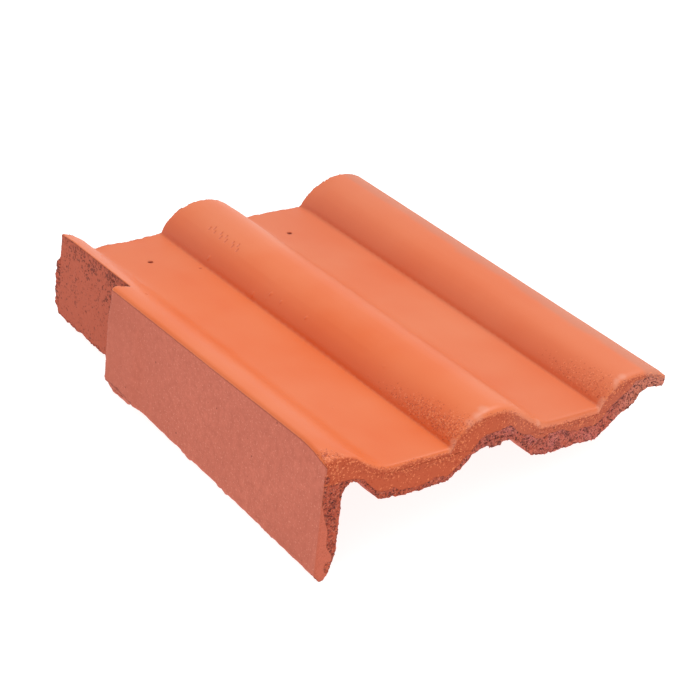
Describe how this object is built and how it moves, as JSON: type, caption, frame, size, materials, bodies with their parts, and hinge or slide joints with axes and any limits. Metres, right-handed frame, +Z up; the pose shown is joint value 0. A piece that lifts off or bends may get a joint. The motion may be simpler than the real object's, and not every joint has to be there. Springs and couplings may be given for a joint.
{
  "type": "verge tile",
  "caption": "Left-hand concrete verge tile: flat pans between rounded rolls, a cover roll at the right and a deep flap at the left that steps in at the head.",
  "frame": {"origin": "middle of the ground rectangle under the tile as it lies, at ground level", "axes": "+Y up the roof from the thick tail to the head, +X from the verge flap to the cover roll, +Z up as the tile lies on its flap and one nib"},
  "size_m": [0.3434, 0.424, 0.1064],
  "materials": {
    "coated_concrete": "terracotta-coloured coating, satin on the weathered face, matt on the flap, raw and porous at the tail and at broken edges"
  },
  "bodies": {
    "root": {"verge_tile": "coated_concrete"}
  },
  "joints": []
}
